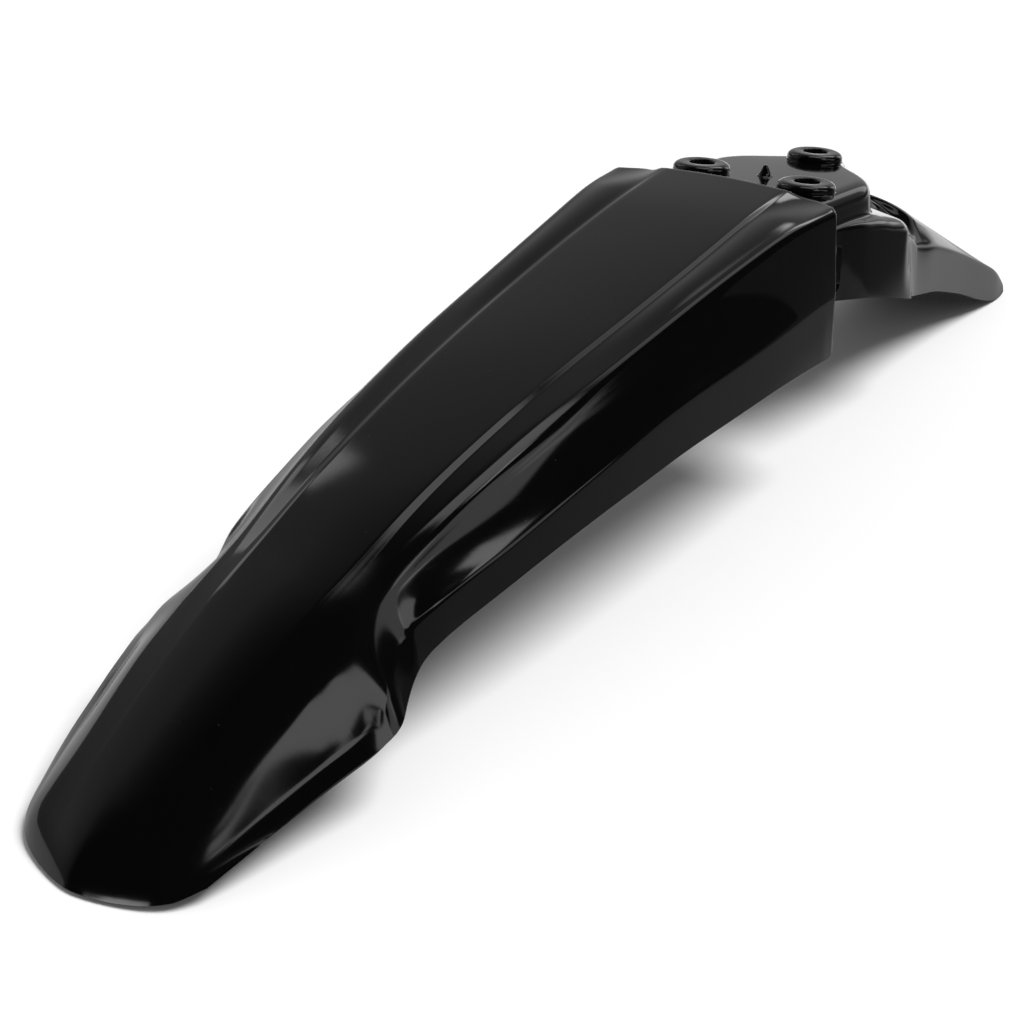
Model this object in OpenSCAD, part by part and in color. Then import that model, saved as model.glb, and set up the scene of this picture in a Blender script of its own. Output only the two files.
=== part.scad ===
/* [Blade] */
// Length of the blade from its tip to its raised rear lip
blade_l = 417; // [380:1:460]
// Width over the blade's side walls near the rear lip
blade_w = 126; // [116:1:140]
// Height of the rear lip above the floor that the mudguard lies on
blade_h = 133.5; // [120:0.5:150]
// Width of the centre panel between its two ridges at the rear lip
panel_w = 60; // [44:1:72]
// Drop just outside each ridge
ridge_drop = 1.3; // [0:0.1:2]
// Width over the flange of the flared front
flare_w = 119; // [112:1:132]
// Width of the flange round the flared front
flange_w = 6; // [3:0.5:8]
// Height of the upright band along each side at the rear lip
band_h = 29.5; // [24:0.5:34]
// Thickness of the moulded wall
wall = 2.6; // [2:0.1:3.2]

/* [Deck] */
// Distance between the centres of the two front bolt holes
bolt_w = 55; // [50:1:64]
// Distance from the front bolt holes back to the rear one
bolt_l = 65; // [58:1:72]
// Bore of each bolt hole
hole_d = 12; // [8:0.5:14]
// Diameter of each raised boss
boss_d = 27; // [24:0.5:29]
// Height of each boss above the deck
boss_h = 4.2; // [3:0.1:7]
// Step from the rear lip of the blade down to the deck
lip_step = 6.1; // [4:0.1:8]
// Slope of the deck down to the rear, in degrees
deck_tilt = 4.7; // [3:0.1:6]
// Diameter at the foot of the moulding nub on the deck
nub_d = 6; // [4:0.5:8]

/* [Rear body] */
// Width over the two pods beside the deck
pod_w = 103; // [98:1:110]
// Width over the tail at its rear end
tail_w = 77; // [66:1:84]
// Length from the rear bolt hole to the end of the tail
tail_l = 192; // [170:1:220]
// Length of the slot in each pod wall
slot_l = 18; // [10:1:22]
// Height of the slot in each pod wall
slot_h = 23; // [12:1:24]

/* [Hidden] */
$fn = 64;

// Places along the mudguard, measured from the tip
bolt_in = 26;
bolt_s = blade_l + bolt_in;
rear_bolt_s = bolt_s + bolt_l;
total_l = rear_bolt_s + tail_l;
deck_w = bolt_w + boss_d + 2;
// Anchors that tie the drawn stations to the real lengths
ANCHORS = [[0, 0], [417, blade_l], [443, bolt_s], [508, rear_bolt_s], [700, total_l]];
kz = blade_h / 133.5;

function clamp01(t) = max(0, min(1, t));
function ease(t) = let (u = clamp01(t)) u * u * (3 - 2 * u);
function mix(a, b, t) = a + (b - a) * t;
function span_of(t, s, i = 0) = (i >= len(t) - 2 || s < t[i + 1][0]) ? i : span_of(t, s, i + 1);
function rise(t, i) = (t[i + 1][1] - t[i][1]) / (t[i + 1][0] - t[i][0]);
function tangent(t, i) =
    i == 0 ? rise(t, 0)
    : i == len(t) - 1 ? rise(t, i - 1)
    : let (a = rise(t, i - 1), b = rise(t, i)) a * b <= 0 ? 0 : 2 * a * b / (a + b);
// Smooth curve through knots [place, value], without overshoot
function along(t, s) =
    let (i = span_of(t, s), h = t[i + 1][0] - t[i][0], u = clamp01((s - t[i][0]) / h))
    let (a = t[i][1], b = t[i + 1][1], m = tangent(t, i) * h, n = tangent(t, i + 1) * h)
    a * (1 + 2 * u) * (1 - u) * (1 - u) + m * u * (1 - u) * (1 - u)
    + b * u * u * (3 - 2 * u) + n * u * u * (u - 1);
function straight(t, s) =
    let (i = span_of(t, s))
    mix(t[i][1], t[i + 1][1], (s - t[i][0]) / (t[i + 1][0] - t[i][0]));
function place(s) = straight(ANCHORS, s);
// Point of a conic from a by way of b to c, with the pull w of b
function conic(a, b, c, w, t) =
    (a * (1 - t) * (1 - t) + b * 2 * w * t * (1 - t) + c * t * t)
    / ((1 - t) * (1 - t) + 2 * w * t * (1 - t) + t * t);
function toward(a, b, d) = let (l = norm(b - a)) a + (b - a) * min(0.45, d / l);

// Front edge and side edge of the blade, seen from above and from the side
NOSE_BOW = 22;
EDGE_X = [[21, 40.3], [28, 42.5], [38, 45.6], [49, 48.6], [62, 51.8], [75, 55.2], [84, 57.5],
    [90, 58.8], [95, 59.4], [99, 58.8], [103, 56.8], [107, 54.7], [113, 52], [119, 50], [125, 49],
    [134, 50], [165, 54.9], [200, 59.3], [240, 62.2], [286, 63.6], [340, 64], [404, 63], [417, 62.4]];
EDGE_Z = [[21, 6.3], [28, 9.1], [38, 13.1], [49, 17.3], [62, 21.6], [75, 25.6], [84, 27.9],
    [90, 29.7], [95, 31.5], [99, 32.7], [107, 35.1], [113, 37.4], [119, 39.8], [125, 42], [134, 45.3],
    [165, 52.8], [200, 59.5], [240, 63.9], [286, 66.4], [340, 66.3], [404, 63.6], [411, 62.6],
    [415, 63], [417, 65]];
// Crease above the side edge: how far in and how far up it lies
CREASE_IN = [[0, 1], [112, 1], [119, 0.95], [125, 0.5], [133, 0.22], [145, 0.14], [417, 0.14]];
CREASE_UP = [[0, -0.1], [3, -0.02], [8, 0.04], [20, 0.065], [60, 0.1], [80, 0.12], [88, 0.15],
    [95, 0.22], [99, 0.28], [105, 0.36], [112, 0.4], [119, 0.43], [133, 0.475], [167, 0.49],
    [220, 0.59], [260, 0.7], [342, 0.785], [417, 1]];
// Crown line along the middle of the blade
CROWN = [[0, 1.7], [2, 5.5], [4, 8.8], [7, 12.8], [10, 16], [15, 20.2], [22, 25], [35, 32.5],
    [55, 43.2], [75, 53], [98, 62.8], [119, 69.8], [155, 82.9], [195, 94.4], [240, 104.9],
    [290, 114.3], [345, 124], [381, 129.6], [417, 133.5]];
// Ridge, shoulder and scoop of the half section: half widths, and heights as shares of the rise
RIDGE_X = [[0, 14], [30, 16], [75, 19], [119, 20.5], [155, 21.5], [195, 23.4], [240, 25.7],
    [290, 28.2], [345, 29.8], [417, 30]];
RIDGE_G = [[0, 1], [12, 0.95], [75, 0.93], [98, 0.955], [119, 0.975], [155, 0.985], [417, 0.993]];
SHOULDER_X = [[0, 20.7], [30, 23.5], [75, 28], [107, 31.5], [125, 33], [161, 37], [182, 39.4],
    [210, 41.8], [271, 46], [305, 48.3], [342, 51.2], [381, 54.6], [400, 56.8], [417, 58.3]];
SHOULDER_G = [[0, 0.95], [12, 0.84], [30, 0.79], [75, 0.775], [89, 0.78], [107, 0.838], [125, 0.86],
    [161, 0.92], [210, 0.947], [271, 0.963], [342, 0.975], [381, 0.972], [417, 0.935]];
SCOOP_X = [[0, 29], [30, 31], [75, 36.5], [89, 40.9], [107, 41], [116, 38], [125, 38.3], [161, 41.5],
    [210, 47.4], [271, 51.2], [342, 55.6], [381, 57.6], [417, 59.8]];
SCOOP_G = [[0, 0.8], [12, 0.65], [30, 0.6], [75, 0.61], [89, 0.58], [107, 0.617], [116, 0.675],
    [125, 0.645], [161, 0.66], [210, 0.68], [271, 0.696], [342, 0.63], [417, 0.655]];

// How far the rear lip reaches back in the middle of each outer facet
LIP_EAR = 7;

// Half section of the blade at the drawn station s, from the middle out to the side edge
function blade_half(s, inset) =
    let (
        bow = NOSE_BOW * pow(1 - clamp01(s / 84), 1.5),
        wide = mix(flare_w / 119, blade_w / 126, ease((s - 89) / 60)),
        edge = [along(EDGE_X, s + bow) * wide, along(EDGE_Z, s + bow)],
        top = along(CROWN, s),
        lift = top - edge[1],
        crease = edge + [-along(CREASE_IN, s) * flange_w, along(CREASE_UP, s) * band_h],
        pan = mix(1, panel_w / 60, ease(s / 120)),
        ridge = [along(RIDGE_X, s) * pan, edge[1] + lift * along(RIDGE_G, s)],
        shoulder = [along(SHOULDER_X, s) * wide, edge[1] + lift * along(SHOULDER_G, s)],
        scoop = [along(SCOOP_X, s) * wide, edge[1] + lift * along(SCOOP_G, s)],
        lip = ease((s - 385) / 32),
        foot = toward(ridge, shoulder, 3.5) - [0, ridge_drop * ease((s - 60) / 100) * (1 - lip)],
        swell = ease((s - 240) / 80) - 2.6 * lip,
        soft = mix(7, 3.5, ease((s - 40) / 110)),
        sa = toward(shoulder, foot, soft),
        sb = toward(shoulder, scoop, soft),
        ca = toward(crease, scoop, 1.4),
        cb = toward(crease, edge, 1.4),
        flat = [
            [0, top], [ridge[0] * 0.55, mix(top, ridge[1], 0.3)], ridge, foot,
            mix(foot, sa, 0.33) + [0, swell], mix(foot, sa, 0.67) + [0, swell],
            sa, conic(sa, shoulder, sb, 1, 0.5), sb,
            for (t = [0.17, 0.34, 0.51, 0.68, 0.85]) conic(sb, scoop, ca, 1, t),
            ca, conic(ca, crease, cb, 1, 0.5), cb, mix(cb, edge, 0.5), edge
        ],
        sweep = 7 * ease((s - 330) / 87),
        ear = LIP_EAR * ease((s - 392) / 25)
    )
    [for (p = flat)
        let (u = p[0] / edge[0])
        [
            p[0] - inset * u,
            place(s + bow * (0.65 * pow(u, 1.6) + 0.35 * pow(u, 8))) - sweep * u * u
                + ear * exp(-pow((u - 0.74) / 0.14, 2)),
            (p[1] - inset * (1 - 0.5 * u)) * kz
        ]];

// Deck, pods and tail: knots by drawn station
DECK_EDGE = [[417, 1], [474, 1], [482.5, 0.985], [487.5, 0.94], [492.5, 0.86], [498.5, 0.71],
    [504, 0.56], [509.5, 0.44], [515.5, 0.33], [523, 0.245]];
TAIL_EDGE = [[523, 10.3], [530, 17], [538, 25], [546, 31], [556, 34], [594, 34], [700, 33]];
WALL_FOOT_Z = [[417, 112.5], [443, 110.3], [470, 107.3], [490, 104.6], [508, 103], [520, 101.5],
    [528, 99]];
POD_TOP_Z = [[417, 112], [443, 110.3], [457, 109.2], [473, 106], [490, 102.3], [506, 98], [515, 94.5],
    [522, 90.5], [530, 85], [538, 79.5], [546, 74]];
CREASE_BELOW = [[546, 22], [575, 14.5], [584, 12.9], [632, 7.4], [665, 4.8], [690, 3], [700, 2]];
REAR_EDGE_X = [[417, 45.7], [440, 46.9], [455, 49.2], [470, 50.8], [520, 51.5], [525, 51.2],
    [528, 50.3], [531, 48.4], [535, 46.8], [546, 44.6], [560, 43.3], [596, 41.2], [637, 39.9],
    [682, 39.5], [700, 38.5]];
REAR_EDGE_Z = [[417, 78.8], [434, 77], [452, 73.5], [470, 69.5], [487, 64.5], [510, 57.5], [527, 52],
    [546, 46.5], [560, 43], [580, 38.2], [596, 33], [615, 26.4], [635, 19.2], [650, 12.6], [662, 7.8],
    [675, 3.6], [685, 1.1], [693, 0.2], [697, 0.6], [700, 1.6]];

LIP = blade_half(417, 1);
function deck_z(s) = blade_h - lip_step * kz - (place(s) - blade_l) * tan(deck_tilt);
TAIL_END = [[660, 0], [678, 0.4], [687, 1.8], [693, 3.6], [697, 5], [700, 6.4]];
function tail_z(s) =
    (101.6 - 0.512 * (s - 530) + 2 - 2 * ease((s - 535) / 26) - (s < 660 ? 0 : along(TAIL_END, s))) * kz;
function rear_half(s) =
    let (
        fall = ease((s - 520) / 11),
        wide = mix(pod_w / 103, tail_w / 77, ease((s - 525) / 60)),
        edge = [along(REAR_EDGE_X, s) * wide, along(REAR_EDGE_Z, s) * kz],
        top = mix(deck_z(s), tail_z(s), fall),
        pod_top = s < 546 ? along(POD_TOP_Z, s) * kz : tail_z(s) - along(CREASE_BELOW, s) * kz,
        lean = 11 * ease((s - 470) / 30) * (1 - ease((s - 545) / 30)),
        pod = [along(REAR_EDGE_X, s + lean) * wide - 0.8, pod_top],
        rim = s < 523 ? along(DECK_EDGE, s) * deck_w / 2 : along(TAIL_EDGE, s) * wide,
        side = [rim, top - mix(0.6, mix(2.5, 0.8, ease((s - 660) / 40)), fall)],
        foot_z = mix(along(WALL_FOOT_Z, s) * kz, mix(side[1], pod_top, 0.5), ease((s - 524) / 16)),
        foot = [rim + mix(1.6, 3.6, fall), min(foot_z, side[1] - 0.6)],
        soft = mix(7, 3.8, fall),
        sa = toward(side, [0, top], soft),
        sb = toward(side, foot, soft),
        round = mix(6.5, 3, ease((s - 522) / 22)),
        ca = toward(pod, foot, round),
        cb = toward(pod, edge, round),
        pull = mix(3, 1, fall),
        flat = [
            [0, top], [sa[0] * 0.35, mix(top, sa[1], 0.2)], [sa[0] * 0.6, mix(top, sa[1], 0.45)],
            [sa[0] * 0.72, mix(top, sa[1], 0.62)], [sa[0] * 0.82, mix(top, sa[1], 0.75)],
            [sa[0] * 0.91, mix(top, sa[1], 0.87)],
            sa, conic(sa, side, sb, 1, 0.5), sb,
            for (t = [0.17, 0.34, 0.51, 0.68, 0.85]) conic(sb, foot, ca, pull, t),
            ca, conic(ca, pod, cb, 1, 0.5), cb, mix(cb, edge, 0.5), edge
        ]
    )
    [for (k = [0:len(flat) - 1])
        [flat[k][0], place(s) + max(0, LIP[k][1] - blade_l) * (1 - ease((s - 417) / 26)), flat[k][1]]];

FRONT_ROWS = [0, 2, 5, 9, 14, 20, 28, 38, 50, 62, 74, 83, 89, 93, 97, 101, 105, 110, 116, 122, 128,
    136, 147, 162, 180, 200, 222, 246, 272, 300, 328, 354, 376, 393, 405, 411, 414.5, 416.2];
REAR_ROWS = [417.8, 421, 427, 435, 443, 452, 461, 469, 477, 483, 488, 493.5, 500, 507, 514, 519, 523,
    526, 529, 532, 536, 541, 548, 558, 574, 594, 616, 640, 660, 676, 686, 692, 696, 698.6, 700];
STEP = len(FRONT_ROWS);
ROWS = STEP + 1 + len(REAR_ROWS);

function half_row(i) =
    i < STEP ? blade_half(FRONT_ROWS[i], 0)
    : i == STEP ? LIP
    : rear_half(REAR_ROWS[i - STEP - 1]);
function whole(h) = concat([for (k = [len(h) - 1:-1:1]) [-h[k][0], h[k][1], h[k][2]]], h);
OUTER = [for (i = [0:ROWS - 1]) whole(half_row(i))];
COLS = len(OUTER[0]);

// Outward direction at a point of the outer face, taken one side at a time at the step behind the lip
function dir_y(i, j) =
    let (a = (i == 0 || i == STEP + 1) ? i : i - 1, b = (i == ROWS - 1 || i == STEP) ? i : i + 1)
    OUTER[b][j] - OUTER[a][j];
function dir_x(i, j) = OUTER[i][min(COLS - 1, j + 1)] - OUTER[i][max(0, j - 1)];
function outward(i, j) =
    let (r = max(1, min(ROWS - 2, i)), c = max(1, min(COLS - 2, j)), n = cross(dir_x(r, c), dir_y(r, c)))
    n / norm(n);
// The inner face steps down one wall thickness ahead of the outer one, over these runs
STEP_RUN = 24;
SETTLE_RUN = 14;
function shift(i, y) =
    i <= STEP ? ease((y - blade_l + STEP_RUN) / STEP_RUN) : 1 - ease((y - blade_l) / SETTLE_RUN);
INNER = [for (i = [0:ROWS - 1]) [for (j = [0:COLS - 1])
    OUTER[i][j] - outward(i, j) * wall - [0, wall * shift(i, OUTER[i][j][1]), 0]]];

function at_pos(i, j) = i * COLS + j;
BACK = ROWS * COLS;
function quad(a, b, c, d) = [[a, b, c], [a, c, d]];
module shell() {
    points = concat([for (r = OUTER) each r], [for (r = INNER) each r]);
    faces = concat(
        [for (i = [0:ROWS - 2], j = [0:COLS - 2])
            each quad(at_pos(i, j), at_pos(i + 1, j), at_pos(i + 1, j + 1), at_pos(i, j + 1))],
        [for (i = [0:ROWS - 2], j = [0:COLS - 2])
            each quad(
                BACK + at_pos(i, j), BACK + at_pos(i, j + 1),
                BACK + at_pos(i + 1, j + 1), BACK + at_pos(i + 1, j))],
        [for (j = [0:COLS - 2])
            each quad(at_pos(0, j), at_pos(0, j + 1), BACK + at_pos(0, j + 1), BACK + at_pos(0, j))],
        [for (j = [0:COLS - 2])
            each quad(
                at_pos(ROWS - 1, j + 1), at_pos(ROWS - 1, j),
                BACK + at_pos(ROWS - 1, j), BACK + at_pos(ROWS - 1, j + 1))],
        [for (i = [0:ROWS - 2])
            each quad(at_pos(i + 1, 0), at_pos(i, 0), BACK + at_pos(i, 0), BACK + at_pos(i + 1, 0))],
        [for (i = [0:ROWS - 2])
            each quad(
                at_pos(i, COLS - 1), at_pos(i + 1, COLS - 1),
                BACK + at_pos(i + 1, COLS - 1), BACK + at_pos(i, COLS - 1))]
    );
    polyhedron(points = points, faces = faces, convexity = 8);
}

// The lowest point of the wall, so that the mudguard lies on the floor
FLOOR = min([for (r = concat(OUTER, INNER)) each [for (p = r) p[2]]]);

BOLTS = [[-bolt_w / 2, 443], [bolt_w / 2, 443], [0, 508]];
module on_deck(x, s) {
    translate([x, place(s), deck_z(s)]) rotate([-deck_tilt, 0, 0]) children();
}
module boss() {
    lip = min(3, boss_h - 0.4);
    rotate_extrude() polygon(concat(
        [[0, -wall], [boss_d / 2 - 0.4, -wall], [boss_d / 2, 0]],
        [for (a = [0:15:90]) [boss_d / 2 - 5 + 5 * cos(a), boss_h - lip + lip * sin(a)]],
        [[0, boss_h]]
    ));
}
module bolt_hole() {
    translate([0, 0, -wall - 3]) cylinder(h = boss_h + wall + 6, d = hole_d);
    translate([0, 0, boss_h - 0.8]) cylinder(h = 1.6, d1 = hole_d, d2 = hole_d + 3.2);
}
// Middle of each slot along the mudguard and above the floor, its corner radius and the depth of its cutter
SLOT_S = 436;
SLOT_Z = 91.5;
SLOT_R = 3.5;
SLOT_CUT = 16;
module slot() {
    for (side = [-1, 1])
        translate([side * along(REAR_EDGE_X, SLOT_S) * pod_w / 103, place(SLOT_S), SLOT_Z * kz])
            rotate([0, 90, 0])
                linear_extrude(height = SLOT_CUT, center = true)
                    hull() for (a = [-1, 1], b = [-1, 1])
                        translate([a * (slot_h / 2 - SLOT_R), b * (slot_l / 2 - SLOT_R)])
                            circle(r = SLOT_R, $fn = 32);
}

module mudguard() {
    color("#1c1c1e")
        translate([0, -total_l / 2, -FLOOR])
            difference() {
                union() {
                    shell();
                    for (b = BOLTS) on_deck(b[0], b[1]) boss();
                    on_deck(0, 455)
                        translate([0, 0, -1])
                            cylinder(h = nub_d + 0.2, d1 = nub_d + 1.4, d2 = 1.6);
                }
                for (b = BOLTS) on_deck(b[0], b[1]) bolt_hole();
                slot();
            }
}

mudguard();
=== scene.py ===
import math
import bpy
import numpy as np
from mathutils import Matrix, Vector


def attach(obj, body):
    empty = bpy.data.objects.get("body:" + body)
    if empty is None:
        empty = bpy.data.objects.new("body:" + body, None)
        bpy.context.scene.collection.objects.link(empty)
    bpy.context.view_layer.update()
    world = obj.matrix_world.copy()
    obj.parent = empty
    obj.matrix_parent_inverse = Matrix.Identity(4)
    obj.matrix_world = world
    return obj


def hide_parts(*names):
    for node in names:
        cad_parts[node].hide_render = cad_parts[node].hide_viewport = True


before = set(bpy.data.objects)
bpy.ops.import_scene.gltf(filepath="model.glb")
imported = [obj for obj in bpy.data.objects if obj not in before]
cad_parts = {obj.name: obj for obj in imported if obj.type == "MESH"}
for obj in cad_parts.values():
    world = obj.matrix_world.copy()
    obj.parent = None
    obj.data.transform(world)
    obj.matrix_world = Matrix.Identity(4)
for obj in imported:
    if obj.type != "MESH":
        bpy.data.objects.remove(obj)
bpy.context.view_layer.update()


# Studio camera

# The camera stands close to the front corner and a little above it, as for a
# catalogue picture of a mudguard lying on a white table, so that the flared
# front looks large and the tail small.

VIEW_AZIMUTH, VIEW_ELEVATION = math.radians(34.95), math.radians(27.04)
VIEW_DISTANCE = 0.7326
VIEW_CENTRE = Vector((0.0, -0.10343, 0.03321))
LENS_PIXELS, PICTURE_PIXELS = 1785.0, 1024.0
SENSOR_WIDTH = 36.0

camera_data = bpy.data.cameras.new("studio_camera")
camera_data.sensor_width = SENSOR_WIDTH
camera_data.lens = SENSOR_WIDTH * LENS_PIXELS / PICTURE_PIXELS
camera_data.clip_start, camera_data.clip_end = 0.02, 60.0
studio_camera = bpy.data.objects.new("studio_camera", camera_data)
bpy.context.collection.objects.link(studio_camera)
towards_camera = Vector((
    math.sin(VIEW_AZIMUTH) * math.cos(VIEW_ELEVATION),
    -math.cos(VIEW_AZIMUTH) * math.cos(VIEW_ELEVATION),
    math.sin(VIEW_ELEVATION),
))
studio_camera.location = VIEW_CENTRE + towards_camera * VIEW_DISTANCE
studio_camera.rotation_mode = "QUATERNION"
studio_camera.rotation_quaternion = (-towards_camera).to_track_quat("-Z", "Y")
bpy.context.scene.camera = studio_camera
bpy.context.scene.view_settings.view_transform = "Standard"


# Table and lights

# A white table top runs out into a white room. A wide key lamp shines from high up
# on the right, and the gloss plastic mirrors a dim studio with a few soft boxes.

TABLE_HALF, TABLE_TONE = 6.0, 0.86
KEY_LAMP_PLACE, KEY_LAMP_SPREAD, KEY_LAMP_STRENGTH = (1.84, 0.72, 3.48), math.radians(30), 3.2
FILL_TONE = 0.36

# Brightness of the mirrored room from its floor (0) to its ceiling (1).
ROOM_STEPS = (
    (0.0, 0.47), (0.12, 0.46), (0.34, 0.38), (0.50, 0.30), (0.59, 0.27), (0.64, 0.24),
    (0.77, 0.21), (0.81, 0.15), (0.87, 0.08), (0.92, 0.04), (0.97, 0.012), (1.0, 0.008),
)

# The room is brighter behind on the left than in front, and falls off far to the
# left: axis, where the change starts and ends along it, and the two levels.
ROOM_SIDES = (
    ((-0.80, 0.60, 0.0), 0.02, 0.50, 0.02, 1.0),
    ((-1.0, 0.0, -0.55), 0.55, 0.95, 1.0, 0.30),
)

# Soft boxes of the studio: azimuth from straight behind the part, elevation,
# turn, half width, half height, softness of the edge and brightness.
STUDIO_CARDS = (
    (94.6, 48.8, 36, 0.126, 0.165, 0.012, 1.80),
    (110.5, 45.5, 0, 0.035, 0.04, 0.012, 1.60),
    (68, 31, 21, 0.135, 0.30, 0.02, 0.95),
    (53, 64, 0, 0.08, 0.05, 0.015, 2.80),
    (0, 50, 0, 0.21, 0.20, 0.04, 0.75),
    (2, 74, 0, 0.26, 0.16, 0.03, 1.60),
    (-5, 38, 0, 0.20, 0.05, 0.03, 3.20),
    (10, 15, 0, 0.13, 0.20, 0.03, 1.00),
    (-72, 31, 0, 0.075, 0.12, 0.015, 1.10),
    (-65, 43, 0, 0.05, 0.05, 0.015, 1.60),
    (186, 5, 0, 0.26, 0.016, 0.012, 5.50),
    (60, 26, 0, 0.10, 0.05, 0.03, 0.45),
)


def ranged(tree, source, low, high, start, stop, kind="SMOOTHSTEP"):
    turn = tree.nodes.new("ShaderNodeMapRange")
    turn.interpolation_type = kind
    for socket, value in (("From Min", low), ("From Max", high), ("To Min", start), ("To Max", stop)):
        turn.inputs[socket].default_value = value
    tree.links.new(source, turn.inputs["Value"])
    return turn.outputs["Result"]


def reckoned(tree, kind, *terms):
    step = tree.nodes.new("ShaderNodeMath")
    step.operation = kind
    for socket, term in zip(step.inputs, terms):
        if isinstance(term, float):
            socket.default_value = term
        else:
            tree.links.new(term, socket)
    return step.outputs[0]


def length_along(tree, direction, axis):
    dot = tree.nodes.new("ShaderNodeVectorMath")
    dot.operation = "DOT_PRODUCT"
    tree.links.new(direction, dot.inputs[0])
    if isinstance(axis, tuple):
        dot.inputs[1].default_value = axis
    else:
        tree.links.new(axis, dot.inputs[1])
    return dot.outputs["Value"]


# The table's colour in the plastic's reflections is painted shade: darker to the right
# of the part, and painted lighter again far behind it. The camera and other rays see the plain white table.
def white_table_finish():
    finish = bpy.data.materials.new("white_table")
    finish.use_nodes = True
    tree = finish.node_tree
    nodes, links = tree.nodes, tree.links
    nodes.clear()
    out = nodes.new("ShaderNodeOutputMaterial")
    paint = nodes.new("ShaderNodeBsdfDiffuse")
    seen = nodes.new("ShaderNodeLightPath")
    place = nodes.new("ShaderNodeTexCoord")
    split = nodes.new("ShaderNodeSeparateXYZ")
    links.new(place.outputs["Object"], split.inputs[0])
    x, y = split.outputs["X"], split.outputs["Y"]
    # painted shade on the table, seen only in reflections: darker to the right of the part, painted lighter
    # far behind it
    near_tail = reckoned(tree, "MINIMUM", x, ranged(tree, y, 0.27, 0.34, 0.0, 0.2))
    mirrored_shade_right = reckoned(tree, "MULTIPLY", ranged(tree, x, 0.09, 0.15, 0.45, 0.14),
                        ranged(tree, near_tail, 0.09, 0.15, 1.0, 0.35))
    mirrored_light_far_back = reckoned(tree, "MULTIPLY", ranged(tree, y, 0.55, 0.95, 0.0, 0.75),
                        ranged(tree, x, 0.12, 0.40, 1.0, 0.0))
    pick = nodes.new("ShaderNodeMix")
    pick.data_type = "FLOAT"
    pick.inputs["A"].default_value = TABLE_TONE
    links.new(seen.outputs["Is Glossy Ray"], pick.inputs["Factor"])
    links.new(reckoned(tree, "ADD", mirrored_shade_right, mirrored_light_far_back), pick.inputs["B"])
    links.new(pick.outputs["Result"], paint.inputs["Color"])
    links.new(paint.outputs[0], out.inputs["Surface"])
    return finish


def lay_table():
    sheet = bpy.data.meshes.new("table_top")
    corners = [(x * TABLE_HALF, y * TABLE_HALF, 0) for x, y in ((-1, -1), (1, -1), (1, 1), (-1, 1))]
    sheet.from_pydata(corners, [], [(0, 1, 2, 3)])
    top = bpy.data.objects.new("table_top", sheet)
    bpy.context.collection.objects.link(top)
    sheet.materials.append(white_table_finish())


def hang_key_lamp():
    data = bpy.data.lights.new("lamp_high_right", "SUN")
    data.angle, data.energy = KEY_LAMP_SPREAD, KEY_LAMP_STRENGTH
    lamp = bpy.data.objects.new("lamp_high_right", data)
    lamp.location = KEY_LAMP_PLACE
    lamp.rotation_mode = "QUATERNION"
    lamp.rotation_quaternion = (-Vector(KEY_LAMP_PLACE)).to_track_quat("-Z", "Y")
    lamp.visible_glossy = False
    bpy.context.collection.objects.link(lamp)


# One soft box: 1 where a direction meets its card and 0 away from it.
def studio_card_group():
    group = bpy.data.node_groups.new("studio_card", "ShaderNodeTree")
    for name in ("Direction", "Across", "Upward", "Centre"):
        group.interface.new_socket(name, in_out="INPUT", socket_type="NodeSocketVector")
    for name in ("Half Width", "Half Height", "Edge"):
        group.interface.new_socket(name, in_out="INPUT", socket_type="NodeSocketFloat")
    group.interface.new_socket("Mask", in_out="OUTPUT", socket_type="NodeSocketFloat")
    given, result = group.nodes.new("NodeGroupInput"), group.nodes.new("NodeGroupOutput")

    def inside(axis, half):
        across = length_along(group, given.outputs["Direction"], given.outputs[axis])
        past_edge = reckoned(group, "SUBTRACT", reckoned(group, "ABSOLUTE", across), given.outputs[half])
        softened = reckoned(group, "DIVIDE", past_edge, given.outputs["Edge"])
        return ranged(group, softened, -1.0, 1.0, 1.0, 0.0)

    ahead = length_along(group, given.outputs["Direction"], given.outputs["Centre"])
    card = reckoned(group, "MULTIPLY", inside("Across", "Half Width"), inside("Upward", "Half Height"))
    mask = reckoned(group, "MULTIPLY", card, reckoned(group, "GREATER_THAN", ahead, 0.0))
    group.links.new(mask, result.inputs["Mask"])
    return group


def hang_card(tree, group, direction, card):
    azimuth, elevation, turn = (math.radians(angle) for angle in card[:3])
    east, north = math.sin(azimuth), math.cos(azimuth)
    rise, run = math.sin(elevation), math.cos(elevation)
    level = Vector((north, -east, 0.0))
    rising = Vector((-rise * east, -rise * north, run))
    node = tree.nodes.new("ShaderNodeGroup")
    node.node_tree = group
    tree.links.new(direction, node.inputs["Direction"])
    node.inputs["Centre"].default_value = (east * run, north * run, rise)
    node.inputs["Across"].default_value = level * math.cos(turn) - rising * math.sin(turn)
    node.inputs["Upward"].default_value = rising * math.cos(turn) + level * math.sin(turn)
    for name, value in zip(("Half Width", "Half Height", "Edge"), card[3:6]):
        node.inputs[name].default_value = value
    return node.outputs["Mask"]


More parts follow.
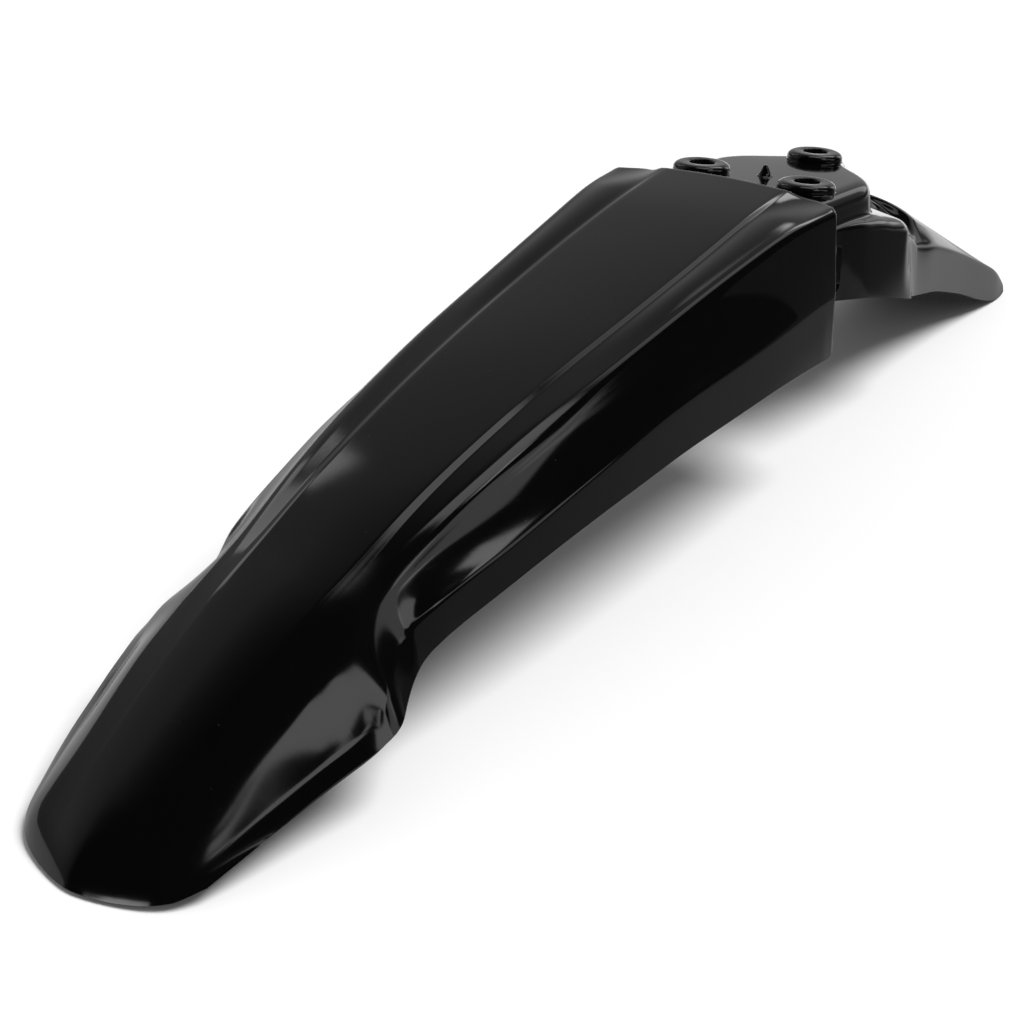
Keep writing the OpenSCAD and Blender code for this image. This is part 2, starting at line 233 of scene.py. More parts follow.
# The camera sees plain white and other surfaces a plain fill. Only what the
# plastic mirrors is the dim room with its soft boxes.
def paint_studio_walls():
    world = bpy.data.worlds.new("studio_walls")
    bpy.context.scene.world = world
    world.use_nodes = True
    tree = world.node_tree
    nodes, links = tree.nodes, tree.links
    nodes.clear()
    out = nodes.new("ShaderNodeOutputWorld")
    seen = nodes.new("ShaderNodeLightPath")
    white = nodes.new("ShaderNodeBackground")
    white.inputs["Color"].default_value = (1.0, 1.0, 1.0, 1.0)
    white.inputs["Strength"].default_value = 1.0
    fill = nodes.new("ShaderNodeBackground")
    fill.inputs["Color"].default_value = (FILL_TONE, FILL_TONE, FILL_TONE, 1.0)
    room = nodes.new("ShaderNodeBackground")
    place = nodes.new("ShaderNodeTexCoord")
    direction = place.outputs["Generated"]
    split = nodes.new("ShaderNodeSeparateXYZ")
    links.new(direction, split.inputs[0])
    height = nodes.new("ShaderNodeValToRGB")
    knots = height.color_ramp.elements
    while len(knots) < len(ROOM_STEPS):
        knots.new(0.5)
    for knot, (at, tone) in zip(knots, ROOM_STEPS):
        knot.position = at
        knot.color = (tone, tone, tone, 1.0)
    links.new(split.outputs["Z"], height.inputs["Fac"])
    behind_left, far_left = (ranged(tree, length_along(tree, direction, axis), *change)
                             for axis, *change in ROOM_SIDES)
    both_sides = reckoned(tree, "MULTIPLY", behind_left, far_left)
    total = reckoned(tree, "MULTIPLY", height.outputs["Color"], both_sides)
    card_group = studio_card_group()
    for card in STUDIO_CARDS:
        mask = hang_card(tree, card_group, direction, card)
        total = reckoned(tree, "MULTIPLY_ADD", mask, card[6], total)
    links.new(total, room.inputs["Color"])
    gloss = nodes.new("ShaderNodeMixShader")
    links.new(seen.outputs["Is Glossy Ray"], gloss.inputs["Fac"])
    links.new(fill.outputs[0], gloss.inputs[1])
    links.new(room.outputs[0], gloss.inputs[2])
    straight = reckoned(tree, "MAXIMUM", seen.outputs["Is Camera Ray"], seen.outputs["Is Transmission Ray"])
    pick = nodes.new("ShaderNodeMixShader")
    links.new(straight, pick.inputs["Fac"])
    links.new(gloss.outputs[0], pick.inputs[1])
    links.new(white.outputs[0], pick.inputs[2])
    links.new(pick.outputs[0], out.inputs["Surface"])


lay_table()
paint_studio_walls()
hang_key_lamp()


# Mudguard

# The real mudguard is one injection moulding in black plastic, about 2.6 mm
# thick. Its ridged blade, deck with bolt bosses, pods and tail run into each
# other, so the skin is lofted through sections from the tip to the tail.

# Millimetres here, and places along the part are counted from the tip of its nose.
BLADE_LENGTH, LENGTH, WALL = 417.0, 700.0, 2.6
LIP_HEIGHT, LIP_SWEEP, LIP_EAR, LIP_ROUND = 133.5, 7.0, 7.0, 1.3
NOSE_BOW = 22.0
DECK_DROP, DECK_HALF, DECK_TILT = 6.1, 42.0, math.radians(4.7)
TAIL_START, TAIL_HEIGHT, TAIL_FALL, TAIL_HUMP = 530, 101.6, 0.512, 2.0
BOLT_PLACES = ((-27.5, 443), (27.5, 443), (0, 508))
BORE_RADIUS, BOSS_RADIUS, BOSS_HEIGHT, BOSS_ROOT = 6.0, 13.5, 4.2, 9.0
NUB_PLACE = 455
SLOT_X, SLOT_Y, SLOT_Z = 46.7, 436, 91.5
SLOT_CORNER, SLOT_HALF_LENGTH, SLOT_HALF_HEIGHT = 3.5, 9.0, 11.5
RIDGE_STEP, RIDGE_BEAD = 0.7, 3.0
FACET_SWELL, LIP_HOLLOW = 1.12, 2.6
CREASE_ACROSS, CREASE_DOWN, CREASE_ROUND = 6.0, 29.5, 1.4
PLASTIC_IOR = 1.49
HAIRLINE_STRETCH = (420.0, 9.0, 60.0)

# Points across each part of a half section, from the crown to the lower edge.
PANEL, STEP, FACET, ROUND, SCOOP, FOLD, BAND = 12, 9, 9, 9, 22, 7, 7

# The blade's lines, each as places along the part and the values there. Names in
# X are distances from the middle, in Z heights, and in G shares of the height from
# the lower edge to the crown. The crease is set in and up from the edge by shares.
EDGE_X = [[21, 40.3], [28, 42.5], [38, 45.6], [49, 48.6], [62, 51.8], [75, 55.2], [84, 57.5], [90, 58.8],
          [95, 59.4], [99, 58.8], [103, 56.8], [107, 54.7], [113, 52], [119, 50], [125, 49], [134, 50],
          [165, 54.9], [200, 59.3], [240, 62.2], [286, 63.6], [340, 64], [404, 63], [417, 62.4]]
EDGE_Z = [[21, 6.3], [28, 9.1], [38, 13.1], [49, 17.3], [62, 21.6], [75, 25.6], [84, 27.9], [90, 29.7],
          [95, 31.5], [99, 32.7], [107, 35.1], [113, 37.4], [119, 39.8], [125, 42], [134, 45.3],
          [165, 52.8], [200, 59.5], [240, 63.9], [286, 66.4], [340, 66.3], [404, 63.6], [411, 62.6],
          [415, 63], [417, 65]]
CREASE_IN = [[0, 1], [112, 1], [119, 0.95], [125, 0.5], [133, 0.22], [145, 0.14], [417, 0.14]]
CREASE_UP = [[0, -0.1], [3, -0.02], [8, 0.04], [20, 0.065], [60, 0.1], [80, 0.12], [88, 0.15], [95, 0.22],
             [99, 0.28], [105, 0.36], [112, 0.4], [119, 0.43], [133, 0.475], [167, 0.49], [220, 0.59],
             [260, 0.7], [342, 0.785], [417, 1]]
CROWN = [[0, 1.7], [2, 5.5], [4, 8.8], [7, 12.8], [10, 16], [15, 20.2], [22, 25], [35, 32.5], [55, 43.2],
         [75, 53], [98, 62.8], [119, 69.8], [155, 82.9], [195, 94.4], [240, 104.9], [290, 114.3],
         [345, 124], [381, 129.6], [BLADE_LENGTH, LIP_HEIGHT]]
RIDGE_X = [[0, 14], [30, 16], [75, 19], [119, 20.5], [155, 21.5], [195, 23.4], [240, 25.7], [290, 28.2],
           [345, 29.8], [417, 30]]
RIDGE_G = [[0, 1], [12, 0.95], [75, 0.93], [98, 0.955], [119, 0.975], [155, 0.985], [417, 0.993]]
SHOULDER_X = [[0, 20.7], [30, 23.5], [75, 28], [107, 31.5], [125, 33], [161, 37], [182, 39.4], [210, 41.8],
              [271, 46], [305, 48.3], [342, 51.2], [381, 54.6], [400, 56.8], [417, 58.3]]
SHOULDER_G = [[0, 0.95], [12, 0.84], [30, 0.79], [75, 0.775], [89, 0.78], [107, 0.838], [125, 0.86],
              [161, 0.92], [210, 0.947], [271, 0.963], [342, 0.975], [381, 0.972], [417, 0.935]]
SCOOP_X = [[0, 29], [30, 31], [60, 36.0], [75, 38.3], [89, 40.1], [107, 41], [116, 38], [125, 38.3],
           [161, 41.5], [210, 47.4], [271, 51.2], [342, 55.6], [381, 57.6], [417, 59.8]]
SCOOP_G = [[0, 0.8], [12, 0.65], [30, 0.6], [75, 0.61], [89, 0.58], [107, 0.617], [116, 0.675],
           [125, 0.645], [161, 0.66], [210, 0.68], [271, 0.696], [342, 0.63], [417, 0.655]]


def blend_step(t):
    t = np.clip(t, 0.0, 1.0)
    return t * t * (3.0 - 2.0 * t)


def between(a, b, share):
    return a + (b - a) * share


# A curve through the knots that never overshoots them.
def drawn_curve(knots, s):
    at, value = np.array(knots, float).T
    gap = np.diff(at)
    rise = np.diff(value) / gap
    slope = np.empty_like(at)
    slope[0], slope[-1] = rise[0], rise[-1]
    both = rise[:-1] * rise[1:]
    total = rise[:-1] + rise[1:]
    slope[1:-1] = np.where(both > 0, 2.0 * both / np.where(total == 0, 1.0, total), 0.0)
    s = np.clip(s, at[0], at[-1])
    i = np.clip(np.searchsorted(at, s, side="right") - 1, 0, len(gap) - 1)
    h, u = gap[i], (s - at[i]) / gap[i]
    return (value[i] * (1 + 2 * u) * (1 - u) ** 2 + slope[i] * h * u * (1 - u) ** 2
            + value[i + 1] * u * u * (3 - 2 * u) + slope[i + 1] * h * u * u * (u - 1))


# The same curve, smoothed over a stretch on both sides of each place.
def faired_curve(knots, s, reach):
    steps = np.linspace(-2.0, 2.0, 9)
    weight = np.exp(-0.5 * steps * steps)
    weight /= weight.sum()
    low, high = knots[0][0], knots[-1][0]
    room = max(0.0, (s - low) / 2.0), max(0.0, (high - s) / 2.0)
    reach = min(reach, *room) if low < s < high else 0.0
    return float(sum(w * drawn_curve(knots, s + d * reach) for w, d in zip(weight, steps)))


# A point at a length from a towards b, before the middle.
def towards(a, b, length):
    span = np.linalg.norm(b - a)
    return a + (b - a) * min(0.45, length / span)


# A round from a to c under the corner b, which draws it in by its pull.
def pulled_arc(a, b, c, pull, count, ends):
    t = np.linspace(0.0, 1.0, count + 2)[1:-1] if ends == "open" else np.linspace(0.0, 1.0, count)
    t = t[:, None]
    w = (1 - t) ** 2 + 2 * pull * t * (1 - t) + t ** 2
    return (a * (1 - t) ** 2 + b * 2 * pull * t * (1 - t) + c * t ** 2) / w


def straight_run(a, b, count):
    t = np.linspace(0.0, 1.0, count + 1)[:-1, None]
    return a + (b - a) * t


# One half section of the blade: panel, ridge step, facet, shoulder, scooped
# flank, crease and side band, swept back at its edges near the tip and the lip.
def blade_outline(s):
    bow = NOSE_BOW * (1 - min(1.0, s / 84.0)) ** 1.5
    edge = np.array([faired_curve(EDGE_X, s + bow, 2.0), faired_curve(EDGE_Z, s + bow, 4.0)])
    top = faired_curve(CROWN, s, 7.0)
    lift = top - edge[1]
    crease = edge + np.array([-faired_curve(CREASE_IN, s, 3.0) * CREASE_ACROSS,
                              faired_curve(CREASE_UP, s, 3.0) * CREASE_DOWN])
    ridge = np.array([faired_curve(RIDGE_X, s, 8.0), edge[1] + lift * faired_curve(RIDGE_G, s, 8.0)])
    shoulder = np.array([faired_curve(SHOULDER_X, s, 8.0),
                         edge[1] + lift * faired_curve(SHOULDER_G, s, 8.0)])
    scoop = np.array([faired_curve(SCOOP_X, s, 6.0), edge[1] + lift * faired_curve(SCOOP_G, s, 6.0)])
    lip = blend_step((s - 385) / 32)
    drop = RIDGE_STEP * blend_step((s - 60) / 100) * (1 - lip)
    bead = towards(ridge, shoulder, RIDGE_BEAD)
    soft = between(7.5, 3.5, blend_step((s - 165) / 95))
    foot = bead - np.array([0, drop])
    sa, sb = towards(shoulder, foot, soft), towards(shoulder, scoop, soft)
    ca, cb = towards(crease, scoop, CREASE_ROUND), towards(crease, edge, CREASE_ROUND)
    t = np.linspace(0.0, 1.0, PANEL + 1)[:-1, None]
    panel = np.hstack([ridge[0] * t, top + (ridge[1] - top) * t ** 2])
    t = np.linspace(0.0, 1.0, STEP + 1)[:-1, None]
    step = ridge + (bead - ridge) * t - np.hstack([0 * t, drop * blend_step(t)])
    facet = straight_run(foot, sa, FACET)
    swell = blend_step((s - 240) / 80) - LIP_HOLLOW * lip
    facet[:, 1] += FACET_SWELL * swell * np.sin(np.linspace(0, math.pi, FACET + 1)[:-1])
    shoulder_arc = pulled_arc(sa, shoulder, sb, 1.0, ROUND, "closed")
    flank = pulled_arc(sb, scoop, ca, 1.0, SCOOP, "open")
    fold = pulled_arc(ca, crease, cb, 1.0, FOLD, "closed")
    band = straight_run(cb, edge, BAND)[1:]
    flat = np.vstack([panel, step, facet, shoulder_arc, flank, fold, band, edge[None, :]])
    u = flat[:, 0] / edge[0]
    sweep = LIP_SWEEP * blend_step((s - 330) / 87)
    ear = LIP_EAR * blend_step((s - 392) / 25) * np.exp(-((u - 0.74) / 0.14) ** 2)
    y = s + bow * (0.65 * np.abs(u) ** 1.6 + 0.35 * np.abs(u) ** 8) - sweep * u * u + ear
    return np.column_stack([flat[:, 0], y, flat[:, 1]])


# The lines of the deck, pods and tail, in the same form. The deck's edge is given in
# shares of its half width, and the crease and the end as drops from the tail's top.
DECK_EDGE = [[417, 1], [474, 1], [482.5, 0.985], [487.5, 0.94], [492.5, 0.86], [498.5, 0.71], [504, 0.56],
             [509.5, 0.44], [515.5, 0.33], [523, 0.245]]
TAIL_EDGE = [[523, 10.3], [530, 17], [538, 25], [546, 31], [556, 34], [594, 34], [700, 33]]
WALL_FOOT_Z = [[417, 112.5], [443, 110.3], [470, 107.3], [490, 104.6], [508, 103], [520, 101.5], [528, 99]]
POD_TOP_Z = [[417, 112], [443, 110.3], [457, 109.2], [473, 106], [490, 102.3], [506, 98], [515, 94.5],
             [522, 90.5], [530, 85], [538, 79.5], [546, 74]]
CREASE_BELOW = [[546, 22], [575, 14.5], [584, 12.9], [632, 7.4], [665, 4.8], [690, 3], [700, 2]]
REAR_EDGE_X = [[417, 45.7], [440, 46.9], [455, 49.2], [470, 50.8], [520, 51.5], [525, 51.2], [528, 50.3],
               [531, 48.4], [535, 46.8], [546, 44.6], [560, 43.3], [596, 41.2], [637, 39.9], [682, 39.5],
               [700, 38.5]]
REAR_EDGE_Z = [[417, 78.8], [434, 77], [452, 73.5], [470, 69.5], [487, 64.5], [510, 57.5], [527, 52],
               [546, 46.5], [560, 43], [580, 38.2], [596, 33], [615, 26.4], [635, 19.2], [650, 12.6],
               [662, 7.8], [675, 3.6], [685, 1.1], [693, 0.2], [697, 0.6], [700, 1.6]]
TAIL_END = [[660, 0], [678, 0.4], [687, 1.8], [693, 3.6], [697, 5], [700, 6.4]]
REAR_LIP = blade_outline(BLADE_LENGTH)
DECK_SLOPE = math.tan(DECK_TILT)


def deck_height(s):
    return LIP_HEIGHT - DECK_DROP - (s - BLADE_LENGTH) * DECK_SLOPE


def tail_height(s):
    end = faired_curve(TAIL_END, s, 2.0) if s > 660 else 0.0
    hump = TAIL_HUMP * blend_step((s - 535) / 26)
    return TAIL_HEIGHT - TAIL_FALL * (s - TAIL_START) + TAIL_HUMP - hump - end


# One half section behind the lip: the deck or the tail's top, its rounded side,
# the shelf down to the pod, the pod's fold and the side wall.
def rear_outline(s):
    fall = blend_step((s - 520) / 11)
    edge = np.array([faired_curve(REAR_EDGE_X, s, 1.5), faired_curve(REAR_EDGE_Z, s, 4.0)])
    top = deck_height(s) * (1 - fall) + tail_height(s) * fall
    if s < POD_TOP_Z[-1][0]:
        pod_top = faired_curve(POD_TOP_Z, s, 3.0)
    else:
        pod_top = tail_height(s) - faired_curve(CREASE_BELOW, s, 4.0)
    lean = 11 * blend_step((s - 470) / 30) * (1 - blend_step((s - 545) / 30))
    pod = np.array([faired_curve(REAR_EDGE_X, s + lean, 1.5) - 0.8, pod_top])
    on_deck = s < DECK_EDGE[-1][0]
    rim = faired_curve(DECK_EDGE, s, 3.0) * DECK_HALF if on_deck else faired_curve(TAIL_EDGE, s, 3.0)
    side_drop = between(0.6, between(2.5, 0.8, blend_step((s - 660) / 40)), fall)
    side = np.array([rim, top - side_drop])
    settle = blend_step((s - 524) / 16)
    foot_z = faired_curve(WALL_FOOT_Z, s, 4.0) * (1 - settle) + (side[1] + pod_top) / 2 * settle
    foot = np.array([rim + 1.6 + 2.0 * fall, min(foot_z, side[1] - 0.6)])
    soft = between(7, 3.8, fall)
    sa, sb = towards(side, np.array([0, top]), soft), towards(side, foot, soft)
    roll = between(6.5, 3, blend_step((s - 522) / 22))
    ca, cb = towards(pod, foot, roll), towards(pod, edge, roll)
    pull = between(3, 1, fall)
    share = np.concatenate([np.linspace(0, 0.6, PANEL + 1)[:-1], np.linspace(0.6, 0.72, STEP + 1)[:-1],
                            np.linspace(0.72, 1.0, FACET + 1)[:-1]])[:, None]
    deck = np.hstack([sa[0] * share, top + (sa[1] - top) * share ** 1.5])
    shoulder_arc = pulled_arc(sa, side, sb, 1.0, ROUND, "closed")
    shelf = pulled_arc(sb, foot, ca, pull, SCOOP, "open")
    fold = pulled_arc(ca, pod, cb, 1.0, FOLD, "closed")
    wall = straight_run(cb, edge, BAND)[1:]
    flat = np.vstack([deck, shoulder_arc, shelf, fold, wall, edge[None, :]])
    back = np.maximum(0.0, REAR_LIP[:, 1] - BLADE_LENGTH) * (1 - blend_step((s - BLADE_LENGTH) / 26))
    return np.column_stack([flat[:, 0], s + back, flat[:, 1]])


def mirrored(half):
    other = half[:0:-1] * np.array([-1.0, 1.0, 1.0])
    return np.vstack([other, half])


def skin_normals(rows):
    across = np.gradient(rows, axis=1)
    down = np.gradient(rows, axis=0)
    n = np.cross(across, down)
    return n / np.linalg.norm(n, axis=2, keepdims=True)


# Rows of points along the whole skin, closer where it bends, and the same rows
# set in by the wall. The lip's edge rolls over by a row of small turns.
def mudguard_rows():
    front_s = np.concatenate([[0, 0.7, 1.6, 2.8, 4.2, 6], np.arange(8, 84, 2.6), np.arange(84, 136, 1.6),
                              np.arange(136, 400, 4.0), np.arange(400, BLADE_LENGTH - LIP_ROUND, 2.0),
                              [BLADE_LENGTH - LIP_ROUND]])
    rear_s = np.concatenate([np.arange(BLADE_LENGTH + 0.8, 518, 2.5), np.arange(518, 552, 1.2),
                             np.arange(552, 672, 4.0), np.arange(672, 696, 1.8),
                             [696.5, 698, 699.2, LENGTH]])
    front = np.array([mirrored(blade_outline(s)) for s in front_s])
    rear = np.array([mirrored(rear_outline(s)) for s in rear_s])
    n_front, n_rear = skin_normals(front), skin_normals(rear)

    def set_back(near):
        return np.stack([0 * near, WALL * near, 0 * near], axis=-1)

    near_lip = blend_step((front[..., 1] - BLADE_LENGTH + 24) / 24)
    near_deck = 1 - blend_step((rear[..., 1] - BLADE_LENGTH) / 14)
    inner_front = front - n_front * WALL - set_back(near_lip)
    inner_rear = rear - n_rear * WALL - set_back(near_deck)
    lip_rows, lip_inner = [], []
    for turn in (25, 50, 75, 90):
        a = math.radians(turn)
        back = np.array([0, LIP_ROUND * math.sin(a), 0])
        lip_rows.append(front[-1] + back - n_front[-1] * LIP_ROUND * (1 - math.cos(a)))
        lip_inner.append(inner_front[-1] + back)
    outer = np.concatenate([front, np.array(lip_rows), rear])
    inner = np.concatenate([inner_front, np.array(lip_inner), inner_rear])
    return outer, inner


# A profile of radii and heights turned about an axis square to the deck. A closed
# profile makes a ring, and an open one a post with a flat at each end.
def turned_on_deck(x, s, profile, columns, closed):
    cos_tilt, sin_tilt = math.cos(DECK_TILT), -math.sin(DECK_TILT)
    points, faces = [], []
    for k in range(columns):
        a = 2 * math.pi * k / columns
        for radius, height in profile:
            along = radius * math.sin(a)
            points.append((x + radius * math.cos(a), s + along * cos_tilt - height * sin_tilt,
                           deck_height(s) + along * sin_tilt + height * cos_tilt))
    n = len(profile)
    for k in range(columns):
        m = (k + 1) % columns
        for i in range(n if closed else n - 1):
            j = (i + 1) % n
            faces.append((k * n + i, m * n + i, m * n + j, k * n + j))
    if not closed:
        faces.append(tuple(k * n + n - 1 for k in range(columns)))
        faces.append(tuple(k * n for k in reversed(range(columns))))
    return points, faces


def boss_ring(x, s):
    r, h, bore = BOSS_RADIUS, BOSS_HEIGHT, BORE_RADIUS
    profile = [(bore, -WALL - 0.1), (bore, h - 0.7), (bore + 0.15, h - 0.35), (bore + 0.5, h - 0.1),
               (bore + 1, h)]
    profile += [(r - 3.4 + 3.4 * math.sin(a), h - 2.6 + 2.6 * math.cos(a))
                for a in np.radians(np.linspace(0, 90, 14))]
    profile += [(r, 0.9), (r + 0.05, 0.45), (r + 0.3, 0.08), (r - 0.1, -0.6), (r - 0.4, -WALL - 0.1)]
    return turned_on_deck(x, s, profile, 96, True)


def moulding_nub(s):
    profile = [(4.4, -0.9), (4.0, 0.06), (3.5, 0.3), (3.0, 0.8), (2.6, 1.5), (2.1, 2.6), (1.6, 3.8),
               (1.25, 4.6), (0.9, 5.05), (0.45, 5.3)]
    return turned_on_deck(0, s, profile, 32, False)


# Millimetres from the tip into metres about the middle of the length.
def into_frame(points):
    p = np.array(points, float)
    p[:, 1] -= LENGTH / 2
    return p / 1000.0


# The outer and inner skins as one closed mesh, joined by a rounded edge.
def skin_mesh(outer, inner):
    rows, cols = outer.shape[:2]
    points = [outer.reshape(-1, 3), inner.reshape(-1, 3)]
    offset = rows * cols
    face_list = []
    i, j = np.meshgrid(np.arange(rows - 1), np.arange(cols - 1), indexing="ij")
    a = (i * cols + j).ravel()
    face_list.append(np.stack([a, a + 1, a + cols + 1, a + cols], axis=1))
    face_list.append(np.stack([a, a + cols, a + cols + 1, a + 1], axis=1) + offset)
    loop = ([(0, j) for j in range(cols)] + [(i, cols - 1) for i in range(1, rows)]
            + [(rows - 1, j) for j in range(cols - 2, -1, -1)] + [(i, 0) for i in range(rows - 2, 0, -1)])
    ids = np.array([r * cols + c for r, c in loop])
    a, b = outer.reshape(-1, 3)[ids], inner.reshape(-1, 3)[ids]
    middle, half = (a + b) / 2, (a - b) / 2
    along = np.roll(a, -1, axis=0) - np.roll(a, 1, axis=0)
    out = np.cross(half, along)
    out /= np.maximum(np.linalg.norm(out, axis=1, keepdims=True), 1e-9)
    size = np.linalg.norm(half, axis=1, keepdims=True)
    chain = [ids]
    start = 2 * offset
    for t in np.radians((35, 70, 110, 145)):
        points.append(middle + half * math.cos(t) + out * size * math.sin(t) * 0.35)
        chain.append(np.arange(start, start + len(ids)))
        start += len(ids)
    chain.append(ids + offset)
    for p, q in zip(chain[:-1], chain[1:]):
        face_list.append(np.stack([p, q, np.roll(q, -1), np.roll(p, -1)], axis=1))
    return np.vstack(points), np.vstack(face_list)


def cutter(name, points, faces):
    mesh = bpy.data.meshes.new(name)
    mesh.from_pydata([tuple(p) for p in into_frame(points)], [], faces)
    tool = bpy.data.objects.new(name, mesh)
    bpy.context.collection.objects.link(tool)
    return tool


def prism(outline, direction, start, stop):
    direction = np.array(direction, float)
    n = len(outline)
    points = [np.array(p) + direction * shift for shift in (start, stop) for p in outline]
    faces = [tuple(range(n))[::-1], tuple(range(n, 2 * n))]
    faces += [(k, (k + 1) % n, n + (k + 1) % n, n + k) for k in range(n)]
    return points, faces


def bore_outline(x, s):
    r = BOSS_ROOT
    return [(x + r * math.cos(a), s + r * math.sin(a), deck_height(s) - DECK_SLOPE * r * math.sin(a))
            for a in np.linspace(0, 2 * math.pi, 49)[:-1]]


def slot_outline(side):
    r = SLOT_CORNER
    outline = []
    for cy, cz, start in ((1, 1, 0), (-1, 1, 90), (-1, -1, 180), (1, -1, 270)):
        for a in np.radians(np.linspace(start, start + 90, 9)):
            outline.append((side * SLOT_X, SLOT_Y + cy * (SLOT_HALF_LENGTH - r) + r * math.cos(a),
                            SLOT_Z + cz * (SLOT_HALF_HEIGHT - r) + r * math.sin(a)))
    return outline


# The lofted skin, cut through under each boss and in both pods.
def moulded_skin():
    outer, inner = mudguard_rows()
    points, faces = skin_mesh(outer, inner)
    mesh = bpy.data.meshes.new("mudguard_skin")
    mesh.from_pydata([tuple(p) for p in into_frame(points)], [], faces.tolist())
    mesh.validate()
    skin = bpy.data.objects.new("mudguard_moulding", mesh)
    bpy.context.collection.objects.link(skin)
    square_to_deck = (0, math.sin(DECK_TILT), math.cos(DECK_TILT))
    tools = [cutter("bore_cut", *prism(bore_outline(x, s), square_to_deck, -4.5, 2.5))
             for x, s in BOLT_PLACES]
    tools += [cutter("slot_cut", *prism(slot_outline(side), (1, 0, 0), -8, 8)) for side in (-1, 1)]
    for tool in tools:
        cut = skin.modifiers.new("cut", "BOOLEAN")
        cut.operation, cut.solver, cut.object = "DIFFERENCE", "EXACT", tool
    depsgraph = bpy.context.evaluated_depsgraph_get()
    cut_mesh = bpy.data.meshes.new_from_object(skin.evaluated_get(depsgraph))
    skin.modifiers.clear()
    skin.data = cut_mesh
    for tool in tools:
        bpy.data.objects.remove(tool)
    return skin


def join_mesh(target, extra):
    old = target.data
    points = [tuple(v.co) for v in old.vertices]
    faces = [tuple(p.vertices) for p in old.polygons]
    for more_points, more_faces in extra:
        start = len(points)
        points += [tuple(p) for p in into_frame(more_points)]
        faces += [tuple(start + v for v in f) for f in more_faces]
    whole = bpy.data.meshes.new("mudguard_moulding")
    whole.from_pydata(points, [], faces)
    whole.validate()
    target.data = whole


# Fine hairlines rubbed one way, of a given width.
def fine_lines_group():
    group = bpy.data.node_groups.new("fine_lines", "ShaderNodeTree")
    for name, kind in (("Place", "Vector"), ("Turn", "Vector"), ("Width", "Float")):
        group.interface.new_socket(name, in_out="INPUT", socket_type="NodeSocket" + kind)
    group.interface.new_socket("Mask", in_out="OUTPUT", socket_type="NodeSocketFloat")
    nodes, links = group.nodes, group.links
    given, result = nodes.new("NodeGroupInput"), nodes.new("NodeGroupOutput")
    turned = nodes.new("ShaderNodeVectorRotate")
    turned.rotation_type = "EULER_XYZ"
    links.new(given.outputs["Place"], turned.inputs["Vector"])
    links.new(given.outputs["Turn"], turned.inputs["Rotation"])
    stretch = nodes.new("ShaderNodeVectorMath")
    stretch.operation = "MULTIPLY"
    stretch.inputs[1].default_value = HAIRLINE_STRETCH
    links.new(turned.outputs[0], stretch.inputs[0])
    cells = nodes.new("ShaderNodeTexVoronoi")
    cells.feature = "F1"
    cells.inputs["Scale"].default_value = 1.0
    cells.inputs["Randomness"].default_value = 1.0
    links.new(stretch.outputs[0], cells.inputs["Vector"])
    line = reckoned(group, "LESS_THAN", cells.outputs["Distance"], given.outputs["Width"])
    links.new(line, result.inputs["Mask"])
    return group


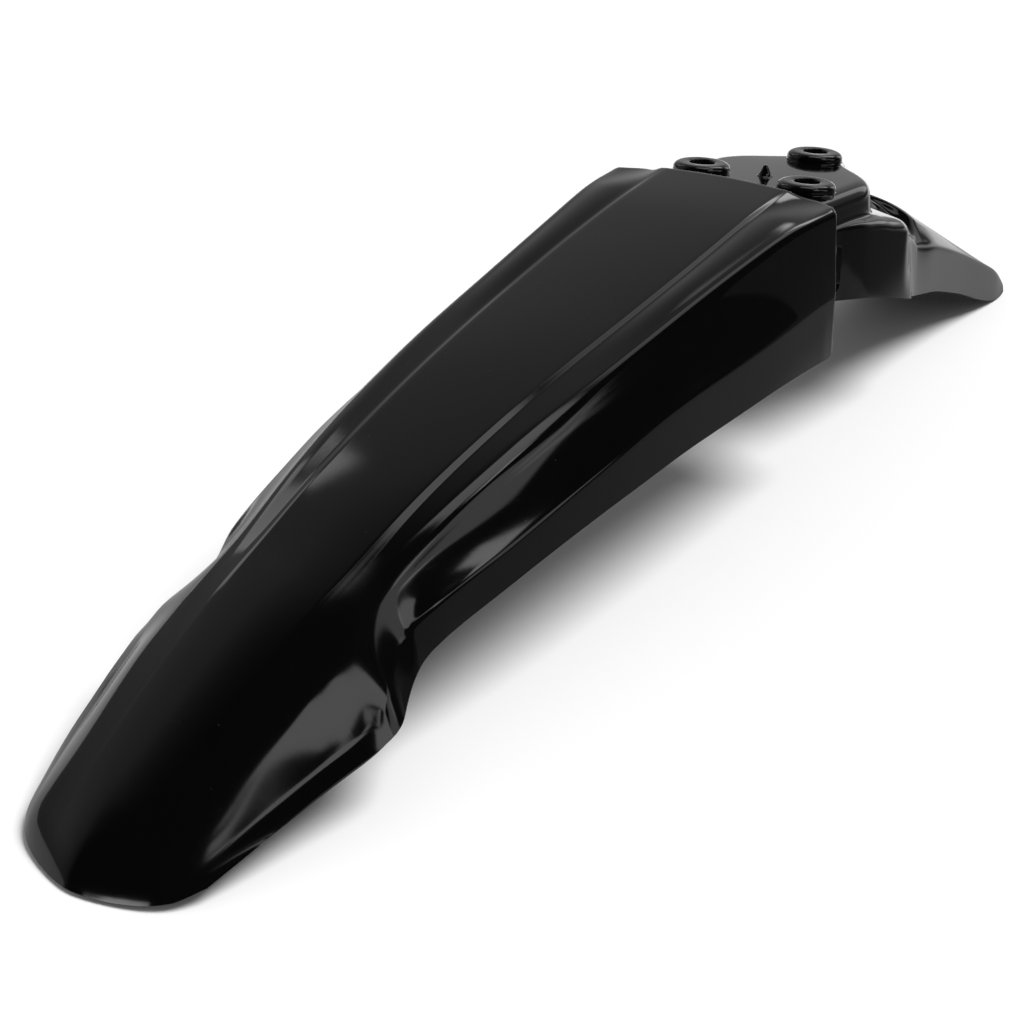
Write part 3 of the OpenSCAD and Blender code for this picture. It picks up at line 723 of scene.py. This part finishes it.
def black_moulding_finish():
    finish = bpy.data.materials.new("black_moulding")
    finish.use_nodes = True
    tree = finish.node_tree
    nodes, links = tree.nodes, tree.links
    shader = nodes["Principled BSDF"]
    shader.inputs["IOR"].default_value = PLASTIC_IOR
    place = nodes.new("ShaderNodeTexCoord").outputs["Object"]

    def cloudy(scale, detail, roughness):
        made = nodes.new("ShaderNodeTexNoise")
        for socket, value in (("Scale", scale), ("Detail", detail), ("Roughness", roughness)):
            made.inputs[socket].default_value = value
        links.new(place, made.inputs["Vector"])
        return made.outputs["Fac"]

    def mixed(a, b, share):
        made = nodes.new("ShaderNodeMix")
        made.data_type = "RGBA"
        made.inputs["B"].default_value = b
        links.new(share, made.inputs["Factor"])
        if isinstance(a, tuple):
            made.inputs["A"].default_value = a
        else:
            links.new(a, made.inputs["A"])
        return made.outputs["Result"]

    def relief(height, strength, distance, under=None):
        made = nodes.new("ShaderNodeBump")
        made.inputs["Strength"].default_value = strength
        made.inputs["Distance"].default_value = distance
        links.new(height, made.inputs["Height"])
        if under:
            links.new(under, made.inputs["Normal"])
        return made.outputs["Normal"]

    # the black is a touch paler where the melt flowed slowly
    tint = mixed((0.0013, 0.0012, 0.0012, 1.0), (0.0021, 0.0020, 0.0020, 1.0), cloudy(14.0, 3.0, 0.5))
    # dust grains, thinly scattered
    grain = nodes.new("ShaderNodeTexVoronoi")
    grain.inputs["Scale"].default_value = 260.0
    links.new(place, grain.inputs["Vector"])
    near_grain = ranged(tree, grain.outputs["Distance"], 0.030, 0.060, 1.0, 0.0, "LINEAR")
    sparse = ranged(tree, cloudy(55.0, 1.0, 0.5), 0.60, 0.64, 0.0, 1.0, "LINEAR")
    dust = reckoned(tree, "MULTIPLY", near_grain, sparse)
    links.new(mixed(tint, (0.035, 0.035, 0.034, 1.0), dust), shader.inputs["Base Color"])
    # hairlines rubbed two ways
    line_group = fine_lines_group()
    rubbed = []
    for turn, width in (((0.0, 0.0, 0.35), 0.035), ((0.4, 0.0, -0.9), 0.028)):
        lines = nodes.new("ShaderNodeGroup")
        lines.node_tree = line_group
        lines.inputs["Turn"].default_value = turn
        lines.inputs["Width"].default_value = width
        links.new(place, lines.inputs["Place"])
        rubbed.append(lines.outputs["Mask"])
    hairline = reckoned(tree, "MAXIMUM", *rubbed)
    # gloss: polished tool surface with hazy patches, duller on lines and dust
    haze = ranged(tree, cloudy(23.0, 4.0, 0.6), 0.35, 0.70, 0.060, 0.105, "LINEAR")
    lined = reckoned(tree, "ADD", haze, ranged(tree, hairline, 0.0, 1.0, 0.0, 0.07, "LINEAR"))
    dusty = reckoned(tree, "ADD", lined, ranged(tree, dust, 0.0, 1.0, 0.0, 0.35, "LINEAR"))
    links.new(dusty, shader.inputs["Roughness"])
    # relief: slow sink marks, orange peel, then the hairlines and dust
    sink = relief(cloudy(17.0, 1.0, 0.4), 0.35, 0.00035)
    peel = relief(cloudy(420.0, 2.0, 0.5), 0.10, 0.00003, sink)
    rub = relief(reckoned(tree, "ADD", hairline, dust), 0.10, 0.00002, peel)
    links.new(rub, shader.inputs["Normal"])
    return finish


mudguard = moulded_skin()
join_mesh(mudguard, [boss_ring(x, s) for x, s in BOLT_PLACES] + [moulding_nub(NUB_PLACE)])
mudguard.data.polygons.foreach_set("use_smooth", [True] * len(mudguard.data.polygons))
mudguard.data.set_sharp_from_angle(angle=math.radians(38))
mudguard.data.materials.append(black_moulding_finish())
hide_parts("mudguard")
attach(mudguard, "root")
